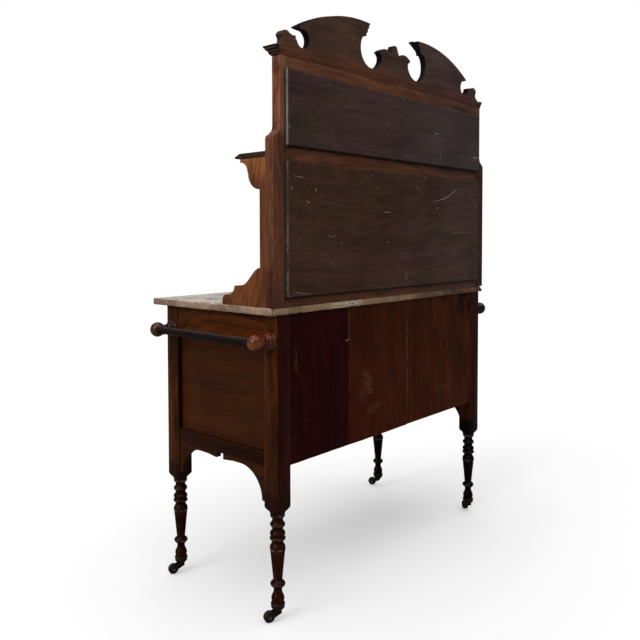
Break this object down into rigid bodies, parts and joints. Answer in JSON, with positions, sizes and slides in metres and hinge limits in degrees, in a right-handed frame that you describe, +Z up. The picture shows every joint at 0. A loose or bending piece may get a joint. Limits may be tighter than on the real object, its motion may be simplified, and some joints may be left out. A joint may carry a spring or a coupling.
{
  "type": "washstand with marble top",
  "caption": "Washstand with a marble top, tiled splash back with shelf and pediment, drawers, a cupboard, towel rails and turned legs on casters.",
  "frame": {"origin": "on the floor, under the centre of the whole stand's box", "axes": "+X to the stand's right as seen from the front, -Y towards the front, +Y towards the back, +Z up"},
  "size_m": [1.103, 0.471, 1.5006],
  "materials": {
    "post_wood": "French-polished mahogany, dark and worn",
    "rail_wood": "French-polished mahogany",
    "panel_wood": "dark polished mahogany, horizontal grain",
    "back_wood": "stained softwood boards, scuffed",
    "backing_wood": "dark umber stained board, scratched",
    "inner_wood": "plain softwood",
    "front_wood": "French-polished mahogany",
    "ball_wood": "glossy turned mahogany",
    "rod_wood": "ebonised, near black",
    "frame_wood": "reddish brown polished mahogany",
    "wing_wood": "orange-brown polished mahogany",
    "moulding_wood": "dark polished mahogany",
    "marble": "honed white marble with grey veins, stained edges",
    "tile": "plain glazed tile",
    "plaster": "plaster bed",
    "brass": "aged brass",
    "cup_metal": "dark patinated metal",
    "fork_metal": "black-brown cast iron",
    "axle_metal": "worn steel",
    "wheel": "black-brown hard wheel"
  },
  "bodies": {
    "case": {"post_front_left": "post_wood", "post_front_right": "post_wood", "post_rear_left": "post_wood", "post_rear_right": "post_wood", "side_top_rails": "rail_wood", "side_bottom_rails": "rail_wood", "side_panels": "panel_wood", "side_brackets": "post_wood", "back_boards": "back_wood", "inner_back_rails": "inner_wood", "front_rails": "front_wood", "drawer_muntin": "front_wood", "cabinet_floor": "inner_wood", "drawer_bearers": "inner_wood", "marble_top": "marble", "splash_dowels": "inner_wood", "towel_arms": "ball_wood", "towel_rods": "rod_wood", "post_leaves_and_pins": "brass", "splash_stile_left": "frame_wood", "splash_stile_right": "frame_wood", "splash_bottom_rail": "frame_wood", "splash_mid_rail": "frame_wood", "splash_top_rail": "frame_wood", "lower_backing_board": "backing_wood", "upper_backing_board": "backing_wood", "splash_tiles": "tile", "tile_beds": "plaster", "splash_wings": "wing_wood", "splash_shelf": "moulding_wood", "cornice": "moulding_wood", "pediment": "moulding_wood", "arch_mouldings": "moulding_wood", "caster_cups": "cup_metal"},
    "drawer_left": {"drawer_front_left": "front_wood", "drawer_box_left": "inner_wood", "drawer_knobs_left": "ball_wood"},
    "door_left": {"door_frame_left": "front_wood", "door_panel_left": "panel_wood", "door_knob_left": "ball_wood", "door_leaves_left": "brass"},
    "drawer_right": {"drawer_front_right": "front_wood", "drawer_box_right": "inner_wood", "drawer_knobs_right": "ball_wood"},
    "door_right": {"door_frame_right": "front_wood", "door_panel_right": "panel_wood", "door_knob_right": "ball_wood", "door_leaves_right": "brass"},
    "caster_rear_right": {"caster_fork_rear_right": "fork_metal", "caster_axle_rear_right": "axle_metal"},
    "wheel_rear_right": {"caster_wheel_rear_right": "wheel"},
    "caster_front_right": {"caster_fork_front_right": "fork_metal", "caster_axle_front_right": "axle_metal"},
    "wheel_front_right": {"caster_wheel_front_right": "wheel"},
    "caster_rear_left": {"caster_fork_rear_left": "fork_metal", "caster_axle_rear_left": "axle_metal"},
    "wheel_rear_left": {"caster_wheel_rear_left": "wheel"},
    "caster_front_left": {"caster_fork_front_left": "fork_metal", "caster_axle_front_left": "axle_metal"},
    "wheel_front_left": {"caster_wheel_front_left": "wheel"}
  },
  "joints": [
    {"name": "drawer_left_slide", "type": "slide", "parent": "case", "child": "drawer_left", "axis": [0, -1, 0], "range_m": [0, 0.24]},
    {"name": "drawer_right_slide", "type": "slide", "parent": "case", "child": "drawer_right", "axis": [0, -1, 0], "range_m": [0, 0.24]},
    {"name": "door_left_hinge", "type": "hinge", "parent": "case", "child": "door_left", "pos_m": [-0.43725, -0.1985, 0.5], "axis": [0, 0, -1], "range_deg": [0, 110]},
    {"name": "door_right_hinge", "type": "hinge", "parent": "case", "child": "door_right", "pos_m": [0.43725, -0.1985, 0.5], "axis": [0, 0, 1], "range_deg": [0, 110]},
    {"name": "caster_rear_right_swivel", "type": "hinge", "parent": "case", "child": "caster_rear_right", "pos_m": [0.4605, 0.2, 0.028], "axis": [0, 0, 1], "continuous": true},
    {"name": "wheel_rear_right_spin", "type": "hinge", "parent": "caster_rear_right", "child": "wheel_rear_right", "pos_m": [0.48055, 0.18979, 0.0135], "axis": [0.454, 0.891, 0], "continuous": true},
    {"name": "caster_front_right_swivel", "type": "hinge", "parent": "case", "child": "caster_front_right", "pos_m": [0.4605, -0.173, 0.028], "axis": [0, 0, 1], "continuous": true},
    {"name": "wheel_front_right_spin", "type": "hinge", "parent": "caster_front_right", "child": "wheel_front_right", "pos_m": [0.48136, -0.18143, 0.0135], "axis": [0.3746, 0.9272, 0], "continuous": true},
    {"name": "caster_rear_left_swivel", "type": "hinge", "parent": "case", "child": "caster_rear_left", "pos_m": [-0.4605, 0.2, 0.028], "axis": [0, 0, 1], "continuous": true},
    {"name": "wheel_rear_left_spin", "type": "hinge", "parent": "caster_rear_left", "child": "wheel_rear_left", "pos_m": [-0.47341, 0.18157, 0.0135], "axis": [0.8192, -0.5736, 0], "continuous": true},
    {"name": "caster_front_left_swivel", "type": "hinge", "parent": "case", "child": "caster_front_left", "pos_m": [-0.4605, -0.173, 0.028], "axis": [0, 0, 1], "continuous": true},
    {"name": "wheel_front_left_spin", "type": "hinge", "parent": "caster_front_left", "child": "wheel_front_left", "pos_m": [-0.45281, -0.19414, 0.0135], "axis": [0.9397, 0.342, 0], "continuous": true}
  ]
}
